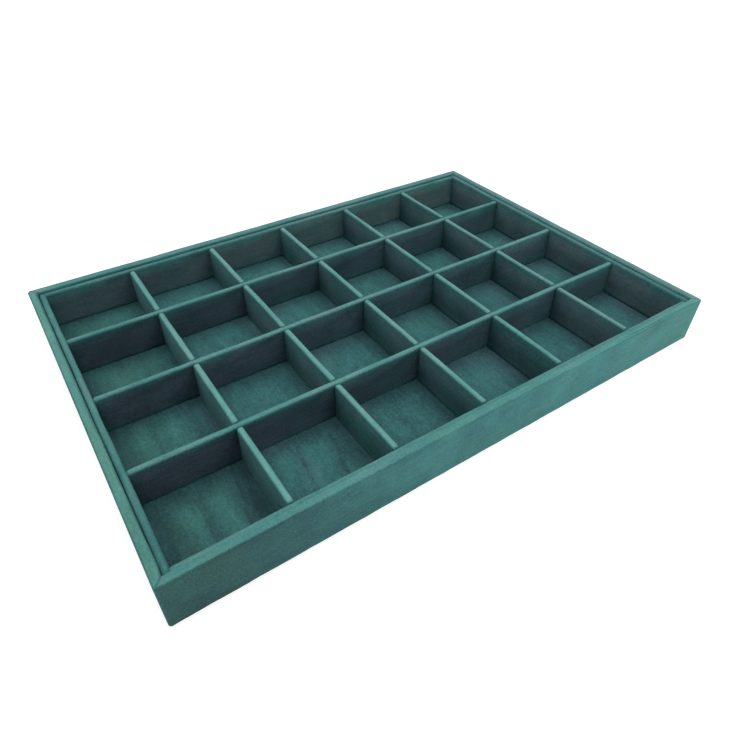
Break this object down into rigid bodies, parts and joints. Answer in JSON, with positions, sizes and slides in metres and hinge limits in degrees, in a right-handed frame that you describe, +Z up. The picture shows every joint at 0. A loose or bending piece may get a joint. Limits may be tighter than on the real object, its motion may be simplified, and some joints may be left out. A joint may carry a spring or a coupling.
{
  "type": "specimen tray",
  "caption": "Shallow open display tray, covered in suede, with a grid of square compartments for minerals and other small pieces; stacks on trays of its own size.",
  "frame": {"origin": "centre of the underside, on the surface that the tray rests on", "axes": "+X along the long side to the right, +Y to the back, +Z up out of the open top"},
  "size_m": [0.35, 0.24, 0.03],
  "materials": {
    "suede": "brushed teal-green microsuede, short nap",
    "rail_board": "raw fibreboard",
    "base_board": "raw hardboard",
    "grey_card": "raw grey board"
  },
  "bodies": {
    "root": {"front_rail": "rail_board", "back_rail": "rail_board", "left_rail": "rail_board", "right_rail": "rail_board", "base_board": "base_board", "front_liner_card": "grey_card", "back_liner_card": "grey_card", "left_liner_card": "grey_card", "right_liner_card": "grey_card", "long_divider_1_card": "grey_card", "long_divider_2_card": "grey_card", "long_divider_3_card": "grey_card", "cross_divider_cards_row1": "grey_card", "cross_divider_cards_row2": "grey_card", "cross_divider_cards_row3": "grey_card", "cross_divider_cards_row4": "grey_card", "floor_card": "grey_card", "front_liner_suede": "suede", "back_liner_suede": "suede", "left_liner_suede": "suede", "right_liner_suede": "suede", "long_divider_1_suede": "suede", "long_divider_2_suede": "suede", "long_divider_3_suede": "suede", "cross_divider_row1_1_suede": "suede", "cross_divider_row1_2_suede": "suede", "cross_divider_row1_3_suede": "suede", "cross_divider_row1_4_suede": "suede", "cross_divider_row1_5_suede": "suede", "cross_divider_row2_1_suede": "suede", "cross_divider_row2_2_suede": "suede", "cross_divider_row2_3_suede": "suede", "cross_divider_row2_4_suede": "suede", "cross_divider_row2_5_suede": "suede", "cross_divider_row3_1_suede": "suede", "cross_divider_row3_2_suede": "suede", "cross_divider_row3_3_suede": "suede", "cross_divider_row3_4_suede": "suede", "cross_divider_row3_5_suede": "suede", "cross_divider_row4_1_suede": "suede", "cross_divider_row4_2_suede": "suede", "cross_divider_row4_3_suede": "suede", "cross_divider_row4_4_suede": "suede", "cross_divider_row4_5_suede": "suede", "outer_suede": "suede", "floor_suede": "suede", "underside_suede": "suede"}
  },
  "joints": []
}
